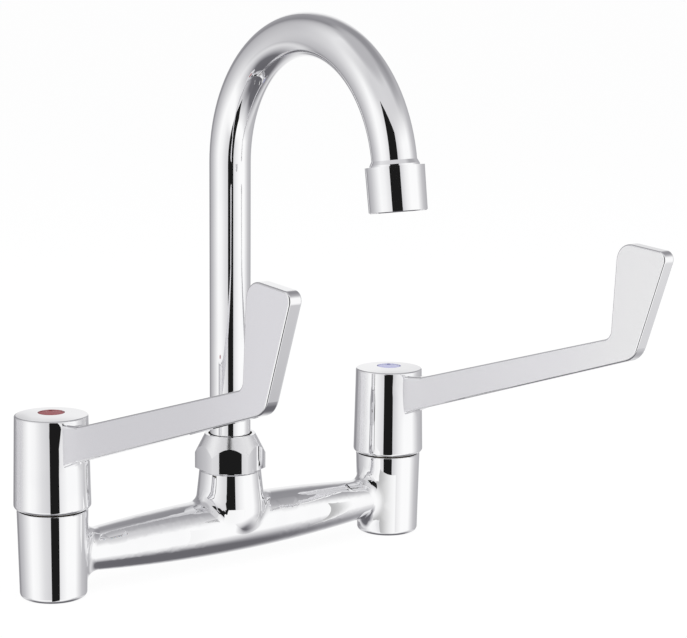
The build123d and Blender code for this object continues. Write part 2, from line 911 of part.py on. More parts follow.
with BuildPart() as aerator_washer:
    add(
        turned(
            outlet_plane,
            outlet_axis,
            (washer_bore, collar_thread_length),
            (collar_thread_radius, collar_thread_length),
            (collar_thread_radius, washer_end),
            (washer_bore, washer_end),
        )
    )
save(aerator_washer, "aerator_washer")


def across_flow(distance):
    """The plane square to the flow at a distance from the housing's top face."""
    return Plane(origin=outlet_point + flow * distance, x_dir=(1, 0, 0), z_dir=flow)


def grid_within(pitch_x, pitch_y, stagger, radius):
    """Places of a grid, staggered by half a pitch on odd rows, whose centres lie within a radius."""
    rows = int(radius / pitch_y) + 1
    columns = int(radius / pitch_x) + 1
    places = []
    for row in range(-rows, rows + 1):
        for column in range(-columns, columns + 1):
            place = Vector((column + stagger * (row % 2)) * pitch_x, row * pitch_y)
            if place.length <= radius:
                places.append((place.X, place.Y))
    return places


with BuildPart() as aerator_insert:
    add(
        turned(
            outlet_plane,
            outlet_axis,
            (0, plate_start),
            (insert_bore, plate_start),
            (insert_bore, washer_end),
            (collar_thread_radius, washer_end),
            (collar_thread_radius, housing_step),
            (insert_radius, housing_step),
            (insert_radius, insert_end),
            (0, insert_end),
        )
    )
    row_pitch = cell_pitch * sin(radians(60))
    cell_places = grid_within(cell_pitch, row_pitch, 0.5, aerator_lip_bore - cell_flats)
    with BuildSketch(across_flow(plate_start)):
        with Locations(*cell_places):
            RegularPolygon(cell_flats / 2, 6, major_radius=False, rotation=30)
    extrude(amount=insert_plate, mode=Mode.SUBTRACT)
save(aerator_insert, "aerator_insert")

with BuildPart() as aerator_mesh:
    with BuildSketch(across_flow(plate_start - mesh_thickness)):
        Circle(insert_bore - seat_gap)
        with Locations(*grid_within(mesh_pitch, mesh_pitch, 0, insert_bore - mesh_hole)):
            Rectangle(mesh_hole, mesh_hole, mode=Mode.SUBTRACT)
    extrude(amount=mesh_thickness)
save(aerator_mesh, "aerator_mesh")
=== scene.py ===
"""The looks of a deck-mounted bridge sink mixer in polished chrome.

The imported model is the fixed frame. Each sub-assembly is a class that dresses its own pieces and
adds the threads that the solids leave out. Lengths are in metres. +X runs from the hot pillar to
the cold one, -Y is the user's side and +Z is up, with the origin on the deck between the pillars.
"""

import logging
from dataclasses import dataclass
from enum import Enum
from math import cos, pi, radians, sin
from typing import Any, Callable

import bpy
from bpy.types import Material, Node, NodeOutputs, NodeSocket, NodeTree, Object
from mathutils import Matrix, Vector


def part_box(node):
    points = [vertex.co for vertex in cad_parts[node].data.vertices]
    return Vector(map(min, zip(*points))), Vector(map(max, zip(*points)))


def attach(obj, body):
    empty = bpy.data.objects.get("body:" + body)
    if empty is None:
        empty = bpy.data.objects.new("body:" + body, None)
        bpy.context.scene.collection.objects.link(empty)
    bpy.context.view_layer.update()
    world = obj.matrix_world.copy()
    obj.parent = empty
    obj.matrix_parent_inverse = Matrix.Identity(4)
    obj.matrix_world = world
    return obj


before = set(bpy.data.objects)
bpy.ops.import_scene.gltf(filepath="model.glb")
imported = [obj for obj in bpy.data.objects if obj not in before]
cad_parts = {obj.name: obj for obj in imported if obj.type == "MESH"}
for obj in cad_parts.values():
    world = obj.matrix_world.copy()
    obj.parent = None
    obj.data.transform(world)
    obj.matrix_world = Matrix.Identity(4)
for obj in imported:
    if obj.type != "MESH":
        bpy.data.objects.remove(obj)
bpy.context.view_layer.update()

MILLIMETRE = 0.001

Colour = tuple[float, float, float]
Place = tuple[float, float, float]
Tones = tuple[tuple[float, float], ...]

WHITE: Colour = (1.0, 1.0, 1.0)
OPAQUE = 1.0

log = logging.getLogger("mixer")


class Side(Enum):
    """The two pillars, by the water that they carry."""

    HOT = "hot"
    COLD = "cold"


# ---------------------------------------------------------------- node trees


def pick(sockets: Any, kind: str, name: str = "") -> NodeSocket:
    """Returns the first of a node's sockets that has a type and, where one is given, a name."""
    return next(socket for socket in sockets if socket.type == kind and name in ("", socket.name))


class Graph:
    """A node tree, with short ways to add nodes and to join them."""

    def __init__(self, tree: NodeTree) -> None:
        """Takes a tree and clears it.

        Args:
            tree: the node tree of a material, a world or a group.
        """
        self.tree = tree
        tree.nodes.clear()

    def add(self, kind: str, **settings: Any) -> Node:
        """Adds a node.

        Args:
            kind: the node's type name.
            settings: its properties, by name.

        Returns:
            The new node.
        """
        node = self.tree.nodes.new(kind)
        for name, value in settings.items():
            setattr(node, name, value)
        return node

    def join(self, source: NodeSocket, target: NodeSocket) -> None:
        """Links an output to an input."""
        self.tree.links.new(source, target)

    def feed(self, target: NodeSocket, value: Any) -> None:
        """Links a socket to an input, or sets the input's own value.

        Args:
            target: the input.
            value: a socket, a number, or a colour as red, green and blue.
        """
        if isinstance(value, NodeSocket):
            self.join(value, target)
        elif isinstance(value, tuple):
            target.default_value = (*value, OPAQUE)
        else:
            target.default_value = value

    def math(self, operation: str, first: Any, second: Any = 0.0) -> NodeSocket:
        """Adds a Math node.

        Args:
            operation: its operation.
            first: the first operand, a socket or a number.
            second: the second operand, a socket or a number.

        Returns:
            The result's socket.
        """
        node = self.add("ShaderNodeMath", operation=operation)
        for socket, value in zip(node.inputs, (first, second)):
            self.feed(socket, value)
        return node.outputs[0]

    def noise(self, vector: NodeSocket, scale: Any, detail: float = 2.0) -> NodeSocket:
        """Adds a Noise texture.

        Args:
            vector: where it is read.
            scale: features to the metre, a socket or a number.
            detail: how many finer layers it has.

        Returns:
            The socket of its value, from 0 to 1.
        """
        node = self.add("ShaderNodeTexNoise")
        self.join(vector, node.inputs["Vector"])
        self.feed(node.inputs["Detail"], detail)
        self.feed(node.inputs["Scale"], scale)
        return node.outputs["Fac"]

    def spread(
        self, value: NodeSocket, low: float, high: float, to_low: Any = 0.0, to_high: Any = 1.0
    ) -> NodeSocket:
        """Adds a smooth Map Range node that is clamped at both ends.

        Args:
            value: what is mapped.
            low: the value that becomes to_low.
            high: the value that becomes to_high.
            to_low: the result at low, a socket or a number.
            to_high: the result at high, a socket or a number.

        Returns:
            The result's socket.
        """
        node = self.add("ShaderNodeMapRange", interpolation_type="SMOOTHSTEP")
        self.join(value, node.inputs["Value"])
        settings = {"From Min": low, "From Max": high, "To Min": to_low, "To Max": to_high}
        for name, setting in settings.items():
            self.feed(node.inputs[name], setting)
        return node.outputs["Result"]

    def mix(self, share: NodeSocket, first: Any, second: Any, kind: str = "RGBA") -> NodeSocket:
        """Adds a mix of two colours or two vectors.

        Args:
            share: how much of the second one shows, from 0 to 1.
            first: what shows at a share of 0, a socket or a colour.
            second: what shows at a share of 1, a socket or a colour.
            kind: RGBA for colours, or VECTOR.

        Returns:
            The mix's socket.
        """
        node = self.add("ShaderNodeMix", data_type=kind)
        self.join(share, node.inputs["Factor"])
        for name, value in (("A", first), ("B", second)):
            self.feed(pick(node.inputs, kind, name), value)
        return pick(node.outputs, kind)

    def mapped(self, vector: NodeSocket, setting: str, value: Place) -> NodeSocket:
        """Adds a Mapping node.

        Args:
            vector: the coordinates that it changes.
            setting: which of Location, Rotation and Scale it changes.
            value: what that setting becomes.

        Returns:
            The changed coordinates.
        """
        node = self.add("ShaderNodeMapping", vector_type="POINT")
        node.inputs[setting].default_value = value
        self.join(vector, node.inputs["Vector"])
        return node.outputs[0]

    def axes(self, vector: NodeSocket) -> NodeOutputs:
        """Takes a vector apart.

        Args:
            vector: the vector.

        Returns:
            The sockets of its X, Y and Z.
        """
        node = self.add("ShaderNodeSeparateXYZ")
        self.join(vector, node.inputs[0])
        return node.outputs


class Socket(Enum):
    """What a group's socket carries."""

    VECTOR = "NodeSocketVector"
    VALUE = "NodeSocketFloat"


class EffectGroup:
    """A shader node group: built once, then placed in each material with that finish's own values."""

    def __init__(
        self,
        name: str,
        inputs: dict[str, Socket],
        outputs: dict[str, Socket],
        fill: Callable[[Graph, Node, Node], None],
    ) -> None:
        """Builds the group.

        Args:
            name: the group's name.
            inputs: its input sockets.
            outputs: its output sockets.
            fill: adds the nodes between the group's input and output nodes.
        """
        self.group = bpy.data.node_groups.new(name, "ShaderNodeTree")
        for socket_name, socket in inputs.items():
            self.group.interface.new_socket(name=socket_name, in_out="INPUT", socket_type=socket.value)
        for socket_name, socket in outputs.items():
            self.group.interface.new_socket(name=socket_name, in_out="OUTPUT", socket_type=socket.value)
        graph = Graph(self.group)
        fill(graph, graph.add("NodeGroupInput"), graph.add("NodeGroupOutput"))

    def place(self, graph: Graph, vector: NodeSocket, **values: float) -> Node:
        """Puts the group in a material.

        Args:
            graph: the material's tree.
            vector: the coordinates that the effect reads.
            values: the numbers for its other inputs, by name.

        Returns:
            The group's node.
        """
        node = graph.add("ShaderNodeGroup", node_tree=self.group)
        graph.join(vector, node.inputs["Vector"])
        for name, value in values.items():
            node.inputs[name].default_value = value
        return node


# The range of a noise that is spread over a whole effect
MIDDLE_BAND = (0.3, 0.7)

# Wheel marks: their stretch along Z, and the ranges of noise that make them and their patches
MARK_STRETCH: Place = (1.0, 1.0, 0.06)
MARK_BAND = (0.56, 0.74)
PATCH_BAND = (0.42, 0.66)
MARK_DEPTH = 0.02

# Turning rings: how far they wander, and how deep they are where the chatter is least and most
RING_WANDER = 0.6
RING_DEPTHS = (0.5, 1.0)

# Pits: from their floor to their edge, in shares of a cell
PIT_BAND = (0.05, 0.2)

# Hexagon flats: from one to the next, how far one may lean, and how near it faces to its crown
FLAT_ANGLE = pi / 3
FLAT_LEAN = 0.05
FLAT_LIKENESS = 0.9


def fill_polish(graph: Graph, given: Node, result: Node) -> None:
    """Buffed metal: hair-thin wheel marks that come and go, over the slow waves of hand polishing.

    Args:
        graph: the group's tree.
        given: its input node.
        result: its output node.
    """
    vector = given.outputs["Vector"]
    stretched = graph.mapped(vector, "Scale", MARK_STRETCH)
    marks = graph.spread(graph.noise(stretched, given.outputs["Marks"], detail=3.0), *MARK_BAND)
    patches = graph.spread(graph.noise(vector, given.outputs["Patches"]), *PATCH_BAND)
    worn = graph.math("MULTIPLY", marks, patches)
    wave = graph.noise(vector, given.outputs["Waves"], detail=1.0)
    graph.join(worn, result.inputs["Worn"])
    graph.join(patches, result.inputs["Patch"])
    height = graph.math("ADD", graph.math("MULTIPLY", worn, -MARK_DEPTH), wave)
    graph.join(height, result.inputs["Height"])


def fill_turning(graph: Graph, given: Node, result: Node) -> None:
    """Lathe-turned metal: fine rings along the axis that the cutting tool leaves, with some chatter.

    Args:
        graph: the group's tree.
        given: its input node.
        result: its output node.
    """
    rings = graph.add("ShaderNodeTexWave", wave_type="BANDS", bands_direction="Z")
    rings.inputs["Distortion"].default_value = RING_WANDER
    graph.join(given.outputs["Vector"], rings.inputs["Vector"])
    graph.join(given.outputs["Rings"], rings.inputs["Scale"])
    chatter = graph.noise(given.outputs["Vector"], given.outputs["Chatter"], detail=3.0)
    graph.join(chatter, result.inputs["Mottle"])
    depth = graph.spread(chatter, *MIDDLE_BAND, *RING_DEPTHS)
    graph.join(graph.math("MULTIPLY", rings.outputs["Fac"], depth), result.inputs["Height"])


def fill_grain(graph: Graph, given: Node, result: Node) -> None:
    """Moulded or fired material: a fine even grain with sparse pits.

    Args:
        graph: the group's tree.
        given: its input node.
        result: its output node.
    """
    fine = graph.noise(given.outputs["Vector"], given.outputs["Grain"], detail=4.0)
    cells = graph.add("ShaderNodeTexVoronoi", feature="F1")
    graph.join(given.outputs["Vector"], cells.inputs["Vector"])
    graph.join(given.outputs["Pits"], cells.inputs["Scale"])
    pit = graph.spread(cells.outputs["Distance"], *PIT_BAND, 1.0, 0.0)
    graph.join(fine, result.inputs["Mottle"])
    graph.join(pit, result.inputs["Pit"])
    graph.join(graph.math("SUBTRACT", fine, pit), result.inputs["Height"])


def fill_round_bore(graph: Graph, given: Node, result: Node) -> None:
    """The inside of an upright bore, about the origin of the coordinates: 1 within its radius.

    Args:
        graph: the group's tree.
        given: its input node.
        result: its output node.
    """
    length = graph.add("ShaderNodeVectorMath", operation="LENGTH")
    graph.join(graph.mapped(given.outputs["Vector"], "Scale", (1.0, 1.0, 0.0)), length.inputs[0])
    inside = graph.math("LESS_THAN", length.outputs["Value"], given.outputs["Radius"])
    graph.join(inside, result.inputs["Inside"])


def fill_crown(graph: Graph, given: Node, result: Node) -> None:
    """The flats of a hexagon about the Z axis, polished to a slight crown, and how they mirror.

    Args:
        graph: the group's tree.
        given: its input node.
        result: its output node.
    """
    place = graph.axes(given.outputs["Vector"])
    start = given.outputs["Start"]
    bearing = graph.math("ARCTAN2", place["Y"], place["X"])
    flats = graph.math("DIVIDE", graph.math("SUBTRACT", bearing, start), FLAT_ANGLE)
    whole = graph.math("MULTIPLY", graph.math("ROUND", flats), FLAT_ANGLE)
    facing = graph.math("ADD", whole, start)
    along = graph.math("MULTIPLY", place["Y"], graph.math("COSINE", facing))
    across = graph.math("MULTIPLY", place["X"], graph.math("SINE", facing))
    lean = graph.math("DIVIDE", graph.math("SUBTRACT", along, across), given.outputs["Radius"])
    leant = graph.math("ADD", graph.math("ADD", facing, lean), given.outputs["Lean"])
    crowned = graph.add("ShaderNodeCombineXYZ")
    graph.join(graph.math("COSINE", leant), crowned.inputs["X"])
    graph.join(graph.math("SINE", leant), crowned.inputs["Y"])
    surface = graph.add("ShaderNodeNewGeometry")
    upward = graph.math("ABSOLUTE", graph.axes(surface.outputs["True Normal"])["Z"])
    likeness = graph.add("ShaderNodeVectorMath", operation="DOT_PRODUCT")
    graph.join(surface.outputs["True Normal"], likeness.inputs[0])
    graph.join(crowned.outputs[0], likeness.inputs[1])
    upright = graph.math("LESS_THAN", upward, FLAT_LEAN)
    alike = graph.math("GREATER_THAN", likeness.outputs["Value"], FLAT_LIKENESS)
    flat = graph.math("MULTIPLY", upright, alike)
    graph.join(flat, result.inputs["Flat"])
    normal = graph.mix(flat, surface.outputs["Normal"], crowned.outputs[0], kind="VECTOR")
    graph.join(normal, result.inputs["Normal"])


POLISH = EffectGroup(
    "polish_marks",
    {"Vector": Socket.VECTOR, "Marks": Socket.VALUE, "Patches": Socket.VALUE, "Waves": Socket.VALUE},
    {"Worn": Socket.VALUE, "Patch": Socket.VALUE, "Height": Socket.VALUE},
    fill_polish,
)
TURNING = EffectGroup(
    "turning_rings",
    {"Vector": Socket.VECTOR, "Rings": Socket.VALUE, "Chatter": Socket.VALUE},
    {"Mottle": Socket.VALUE, "Height": Socket.VALUE},
    fill_turning,
)
GRAIN = EffectGroup(
    "moulded_grain",
    {"Vector": Socket.VECTOR, "Grain": Socket.VALUE, "Pits": Socket.VALUE},
    {"Mottle": Socket.VALUE, "Pit": Socket.VALUE, "Height": Socket.VALUE},
    fill_grain,
)
CROWN = EffectGroup(
    "crowned_flats",
    {"Vector": Socket.VECTOR, "Start": Socket.VALUE, "Radius": Socket.VALUE, "Lean": Socket.VALUE},
    {"Normal": Socket.VECTOR, "Flat": Socket.VALUE},
    fill_crown,
)
ROUND_BORE = EffectGroup(
    "round_bore",
    {"Vector": Socket.VECTOR, "Radius": Socket.VALUE},
    {"Inside": Socket.VALUE},
    fill_round_bore,
)


# ---------------------------------------------------------------- finishes

MADE: dict[str, Material] = {}


def new_material(name: str) -> tuple[Material, Graph, NodeSocket]:
    """Makes a material with nothing but an output node.

    Args:
        name: the material's name.

    Returns:
        The material, its tree, and the socket that its surface goes to.
    """
    material = bpy.data.materials.new(name)
    material.use_nodes = True
    graph = Graph(material.node_tree)
    return material, graph, graph.add("ShaderNodeOutputMaterial").inputs["Surface"]


@dataclass(frozen=True)
class Finish:
    """What every finish has: a name and the steps that make it a material.

    Attributes:
        name: the finish's name.
    """

    name: str

    def material(self) -> Material:
        """Makes the finish's material, the first time that it is asked for.

        Returns:
            The material.
        """
        if self.name not in MADE:
            MADE[self.name], graph, surface = new_material(f"{self.name}_finish")
            shader = graph.add("ShaderNodeBsdfPrincipled")
            graph.join(shader.outputs["BSDF"], surface)
            self.dress(graph, shader, graph.add("ShaderNodeTexCoord").outputs["Object"])
        return MADE[self.name]

    def dress(self, graph: Graph, shader: Node, place: NodeSocket) -> None:
        """Sets the shader's sockets and feeds them.

        Args:
            graph: the material's tree.
            shader: its Principled BSDF.
            place: the surface's Object coordinates.
        """
        raise NotImplementedError

    @staticmethod
    def bump(graph: Graph, shader: Node, height: NodeSocket, depth: float) -> None:
        """Feeds a height to the shader's normal.

        Args:
            graph: the material's tree.
            shader: its Principled BSDF.
            height: the height, from 0 to about 1.
            depth: the relief in metres that a height of 1 stands for.
        """
        node = graph.add("ShaderNodeBump")
        node.inputs["Distance"].default_value = depth
        graph.join(height, node.inputs["Height"])
        graph.join(node.outputs["Normal"], shader.inputs["Normal"])


@dataclass(frozen=True)
class Chrome(Finish):
    """Bright chrome plate on polished brass.

    Attributes:
        tint: the colour that the plate reflects with.
        shade: its colour in the patches that the wheel left less bright.
        gloss: the roughness of the plate.
        wheel: the roughness that the wheel marks add.
        waves: how many polishing waves there are to the metre.
        wave_depth: how high the waves are, in metres.
        marks: how many wheel marks there are to the metre.
        patches: how many patches of them there are to the metre.
        bores: the middle and radius of each machined bore, where the bare brass shows.
        bore_gloss: the least roughness in the bores.
    """

    tint: Colour = (0.965, 0.965, 0.972)
    shade: Colour = (0.945, 0.945, 0.955)
    gloss: float = 0.012
    wheel: float = 0.035
    waves: float = 55.0
    wave_depth: float = 6e-6
    marks: float = 1900.0
    patches: float = 45.0
    bores: tuple[tuple[Place, float], ...] = ()
    bore_gloss: float = 0.28

    def dress(self, graph: Graph, shader: Node, place: NodeSocket) -> None:
        """Feeds colour, roughness and relief from the polish marks.

        Args:
            graph: the material's tree.
            shader: its Principled BSDF.
            place: the surface's Object coordinates.
        """
        shader.inputs["Metallic"].default_value = 1.0
        polish = POLISH.place(graph, place, Marks=self.marks, Patches=self.patches, Waves=self.waves)
        colour = graph.mix(polish.outputs["Patch"], self.tint, self.shade)
        rough = graph.spread(polish.outputs["Worn"], 0.0, 1.0, self.gloss, self.gloss + self.wheel)
        for middle, radius in self.bores:
            centred = graph.mapped(place, "Location", tuple(-value for value in middle))
            inside = ROUND_BORE.place(graph, centred, Radius=radius).outputs["Inside"]
            colour = graph.mix(inside, colour, BARE_BRASS)
            rough = graph.math("MAXIMUM", rough, graph.math("MULTIPLY", inside, self.bore_gloss))
        graph.join(colour, shader.inputs["Base Color"])
        graph.join(rough, shader.inputs["Roughness"])
        self.bump(graph, shader, polish.outputs["Height"], self.wave_depth)


@dataclass(frozen=True)
class SatinFacedChrome(Chrome):
    """Chrome whose flat sides are finer ground than polished, as on a lever blade.

    Attributes:
        ground: the tint of the flat sides; the two levers' tints differ as painted light and shade.
        scatter: how much of their light the fine grinding scatters.
        satin: their roughness.
        flat_from: how nearly along X a surface has to face to start to be one of them.
        flat_to: how nearly along X it has to face to be one altogether.
        painted_light_from: how far from the pillars' line the painted light on the flat sides starts.
        painted_light_to: how far from it the painted light is at its brightest.
        painted_light_gain: how much lighter the painted light makes the flat sides there.
    """

    ground: Colour = (0.9, 0.895, 0.92)
    scatter: float = 0.3
    satin: float = 0.46
    flat_from: float = 0.985
    flat_to: float = 0.995
    painted_light_from: float = 105.0 * MILLIMETRE
    painted_light_to: float = 160.0 * MILLIMETRE
    painted_light_gain: float = 0.1

    def dress(self, graph: Graph, shader: Node, place: NodeSocket) -> None:
        """Feeds the sockets as on bright chrome, with colour and roughness that follow the flats, plus
        painted light.

        Args:
            graph: the material's tree.
            shader: its Principled BSDF.
            place: the surface's Object coordinates.
        """
        super().dress(graph, shader, place)
        facing = graph.axes(graph.add("ShaderNodeNewGeometry").outputs["True Normal"])
        flat = graph.spread(graph.math("ABSOLUTE", facing["X"]), self.flat_from, self.flat_to)
        rough = shader.inputs["Roughness"].links[0].from_socket
        graph.join(graph.spread(flat, 0.0, 1.0, rough, self.satin), shader.inputs["Roughness"])
        graph.join(graph.spread(flat, 0.0, 1.0, 1.0, 1.0 - self.scatter), shader.inputs["Metallic"])
        # Painted light: the flat sides are made lighter towards the lever's far end, where the light falls
        # on them more brightly
        painted_light_share = graph.spread(graph.axes(place)["Y"], -self.painted_light_to, -self.painted_light_from, 1.0, 0.0)
        bright = tuple(min(value * (1.0 + self.painted_light_gain), 1.0) for value in self.ground)
        polished = shader.inputs["Base Color"].links[0].from_socket
        ground = graph.mix(flat, polished, graph.mix(painted_light_share, self.ground, bright))
        graph.join(ground, shader.inputs["Base Color"])


@dataclass(frozen=True)
class CrownedChrome(Chrome):
    """Chrome on a hexagon about the Z axis, whose flats the polishing has left slightly crowned.

    Attributes:
        start: the bearing of one flat.
        crown: the radius of the crown.
        lean: how far the crown is turned off the flat's middle.
        cone_gloss: the roughness of the cone above the flats.
    """

    start: float = radians(54.5)
    crown: float = 40.0 * MILLIMETRE
    lean: float = radians(1.9)
    cone_gloss: float = 0.17

    def dress(self, graph: Graph, shader: Node, place: NodeSocket) -> None:
        """Feeds the sockets as on bright chrome, with the crown under the polishing waves.

        Args:
            graph: the material's tree.
            shader: its Principled BSDF.
            place: the surface's Object coordinates.
        """
        super().dress(graph, shader, place)
        crown = CROWN.place(graph, place, Start=self.start, Radius=self.crown, Lean=self.lean)
        waves = shader.inputs["Normal"].links[0].from_node
        graph.join(crown.outputs["Normal"], waves.inputs["Normal"])
        polished = shader.inputs["Roughness"].links[0].from_socket
        rough = graph.spread(crown.outputs["Flat"], 0.0, 1.0, self.cone_gloss, polished)
        graph.join(rough, shader.inputs["Roughness"])


@dataclass(frozen=True)
class TurnedMetal(Finish):
    """Bare turned metal, such as the brass of the headworks or a steel screw.

    Attributes:
        light: its colour where the cut is clean.
        dark: its colour where it has dulled.
        gloss: its lowest roughness.
        dulling: the roughness that dulling adds.
        dull_band: the range of chatter over which the metal goes from clean to dull.
        rings: how many tool rings there are to the metre.
        chatter: how many patches of chatter there are to the metre.
        depth: how deep the rings are, in metres.
    """

    light: Colour = (0.78, 0.57, 0.28)
    dark: Colour = (0.56, 0.38, 0.17)
    gloss: float = 0.22
    dulling: float = 0.14
    dull_band: tuple[float, float] = (0.35, 0.7)
    rings: float = 900.0
    chatter: float = 260.0
    depth: float = 1.2e-5

    def dress(self, graph: Graph, shader: Node, place: NodeSocket) -> None:
        """Feeds colour, roughness and relief from the turning rings.

        Args:
            graph: the material's tree.
            shader: its Principled BSDF.
            place: the surface's Object coordinates.
        """
        shader.inputs["Metallic"].default_value = 1.0
        turning = TURNING.place(graph, place, Rings=self.rings, Chatter=self.chatter)
        mottle = turning.outputs["Mottle"]
        dull = graph.spread(mottle, *self.dull_band)
        graph.join(graph.mix(dull, self.light, self.dark), shader.inputs["Base Color"])
        rough = graph.spread(mottle, *MIDDLE_BAND, self.gloss, self.gloss + self.dulling)
        graph.join(rough, shader.inputs["Roughness"])
        self.bump(graph, shader, turning.outputs["Height"], self.depth)


@dataclass(frozen=True)
class Moulded(Finish):
    """A moulded, pressed or fired material: rubber, plastic, ceramic or enamel.

    Attributes:
        light: its main colour.
        dark: its colour in the grain's low places.
        gloss: its lowest roughness.
        rough: its highest roughness.
        grain: grains to the metre.
        pits: pits to the metre.
        depth: how deep the grain is, in metres.
        coat: the clear gloss over it, from 0 to 1.
        glow: how much light passes under its surface, from 0 to 1.
        glow_depth: how far under its surface that light goes.
        mottling: how far the grain alone goes towards the dark colour.
    """

    light: Colour = (0.9, 0.9, 0.88)
    dark: Colour = (0.8, 0.8, 0.77)
    gloss: float = 0.35
    rough: float = 0.5
    grain: float = 2500.0
    pits: float = 900.0
    depth: float = 6e-6
    coat: float = 0.0
    glow: float = 0.0
    glow_depth: float = 0.8 * MILLIMETRE
    mottling: float = 0.6

    def dress(self, graph: Graph, shader: Node, place: NodeSocket) -> None:
        """Feeds colour, roughness and relief from the grain.

        Args:
            graph: the material's tree.
            shader: its Principled BSDF.
            place: the surface's Object coordinates.
        """
        shader.inputs["Coat Weight"].default_value = self.coat
        shader.inputs["Subsurface Weight"].default_value = self.glow
        shader.inputs["Subsurface Scale"].default_value = self.glow_depth
        grain = GRAIN.place(graph, place, Grain=self.grain, Pits=self.pits)
        mottle = graph.spread(grain.outputs["Mottle"], *MIDDLE_BAND)
        shade = graph.math("MAXIMUM", graph.math("MULTIPLY", mottle, self.mottling), grain.outputs["Pit"])
        graph.join(graph.mix(shade, self.light, self.dark), shader.inputs["Base Color"])
        graph.join(graph.spread(mottle, 0.0, 1.0, self.gloss, self.rough), shader.inputs["Roughness"])
        self.bump(graph, shader, grain.outputs["Height"], self.depth)


BARE_BRASS: Colour = (0.76, 0.56, 0.29)

BRASS = TurnedMetal("turned_brass")
# Painted shade: the valve bodies' brass is made near black to stand for the shade in the slit between each
# pillar's cap and its barrel
SLIT_SHADE_BRASS = TurnedMetal("headwork_slit_shade_brass", light=(0.16, 0.13, 0.09), dark=(0.09, 0.075, 0.055), gloss=0.4)
STAINLESS = TurnedMetal("stainless_steel", light=(0.66, 0.66, 0.65), dark=(0.5, 0.5, 0.5), rings=1400.0)
SPRING_STEEL = TurnedMetal(
    "spring_steel", light=(0.4, 0.42, 0.46), dark=(0.27, 0.28, 0.31), gloss=0.3, rings=600.0
)
CERAMIC = Moulded(
    "alumina_ceramic", light=(0.88, 0.87, 0.83), dark=(0.78, 0.76, 0.7), gloss=0.14, rough=0.24, coat=0.3
)
RUBBER = Moulded(
    "black_rubber",
    light=(0.018, 0.018, 0.019),
    dark=(0.009, 0.009, 0.01),
    gloss=0.46,
    rough=0.66,
    depth=1e-5,
)
NYLON = Moulded("slip_nylon", light=(0.82, 0.8, 0.73), dark=(0.72, 0.7, 0.62), glow=0.25)
ACETAL = Moulded(
    "white_acetal", light=(0.8, 0.81, 0.82), dark=(0.7, 0.71, 0.73), gloss=0.28, rough=0.4, glow=0.15
)
RED_INDEX = Moulded(
    "red_index", light=(0.3, 0.03, 0.042), dark=(0.24, 0.02, 0.03), gloss=0.36, rough=0.46, depth=2e-6
)
BLUE_INDEX = Moulded(
    "blue_index", light=(0.41, 0.42, 0.72), dark=(0.35, 0.36, 0.66), gloss=0.12, rough=0.2, depth=1e-6
)
TUBE_CHROME = Chrome("tube_chrome", waves=22.0, wave_depth=3e-6)
OUTLET_CHROME = Chrome("outlet_chrome", gloss=0.03, waves=90.0, wave_depth=4e-6)
NUT_CHROME = CrownedChrome("nut_chrome", gloss=0.03, waves=90.0, wave_depth=4e-6)
# Lit and shaded copies of one finish: the hot lever's flat sides are darker as painted shade, and the cold
# lever's are lighter as painted light
SHADED_HOT_LEVER = SatinFacedChrome("hot_lever_shaded_chrome", ground=(0.806, 0.8, 0.825))
LIT_COLD_LEVER = SatinFacedChrome("cold_lever_lit_chrome", ground=(0.94, 0.935, 0.955))


def dress(node: str, finish: Finish) -> None:
    """Gives a solid of the frame its finish, in every material slot that it has.

    Args:
        node: the solid's name.
        finish: its finish.
    """
    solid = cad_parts[node]
    if not solid.material_slots:
        solid.data.materials.append(finish.material())
    for place in solid.material_slots:
        place.material = finish.material()


# ---------------------------------------------------------------- modelling


def start_clean() -> None:
    """Leaves edit mode and deselects everything."""
    if bpy.context.object is not None and bpy.context.object.mode != "OBJECT":
        bpy.ops.object.mode_set(mode="OBJECT")
    bpy.ops.object.select_all(action="DESELECT")


@dataclass(frozen=True)
class Thread:
    """A screw thread's ridge: a triangle swept along a helix, with its ends closed.

    Attributes:
        name: the piece's name.
        radius: from the axis to the ridge's foot.
        height: how far the crest stands from the foot: outwards, or inwards if it is below zero.
        pitch: from crest to crest.
        turns: how many times it goes round.
        start: where the axis meets the first turn.
        steps: how many straight stretches one turn has.
        half_foot: half the width of the ridge's foot, in pitches.
        weld: how near corners have to be to become one.
        smooth: the sharpest edge that is shaded smooth.
    """

    name: str
    radius: float
    height: float
    pitch: float
    turns: int
    start: Vector
    steps: int = 48
    half_foot: float = 0.45
    weld: float = 1e-3 * MILLIMETRE
    smooth: float = radians(30.0)

    def build(self) -> Object:
        """Sweeps the triangle, closes the ridge's ends and moves it to its place.

        Returns:
            The ridge.
        """
        start_clean()
        bpy.ops.mesh.primitive_circle_add(vertices=3, radius=self.pitch / 2, fill_type="NOTHING")
        ridge = bpy.context.object
        ridge.name = self.name
        ridge.data.name = self.name
        foot = self.radius
        profile = [(foot, -self.half_foot), (foot + self.height, 0.0), (foot, self.half_foot)]
        for corner, (reach, share) in zip(ridge.data.vertices, profile):
            corner.co = (reach, 0.0, share * self.pitch)
        screw = ridge.modifiers.new("helix", "SCREW")
        screw.axis = "Z"
        screw.angle = 2 * pi
        screw.screw_offset = self.pitch
        screw.iterations = self.turns
        screw.steps = self.steps
        screw.render_steps = self.steps
        bpy.ops.object.modifier_apply(modifier="helix")
        bpy.ops.object.mode_set(mode="EDIT")
        bpy.ops.mesh.select_all(action="SELECT")
        bpy.ops.mesh.remove_doubles(threshold=self.weld)
        bpy.ops.mesh.fill_holes(sides=3)
        bpy.ops.mesh.normals_make_consistent(inside=False)
        bpy.ops.transform.translate(value=self.start)
        bpy.ops.object.mode_set(mode="OBJECT")
        bpy.ops.object.shade_smooth_by_angle(angle=self.smooth)
        return ridge


# ---------------------------------------------------------------- sub-assemblies


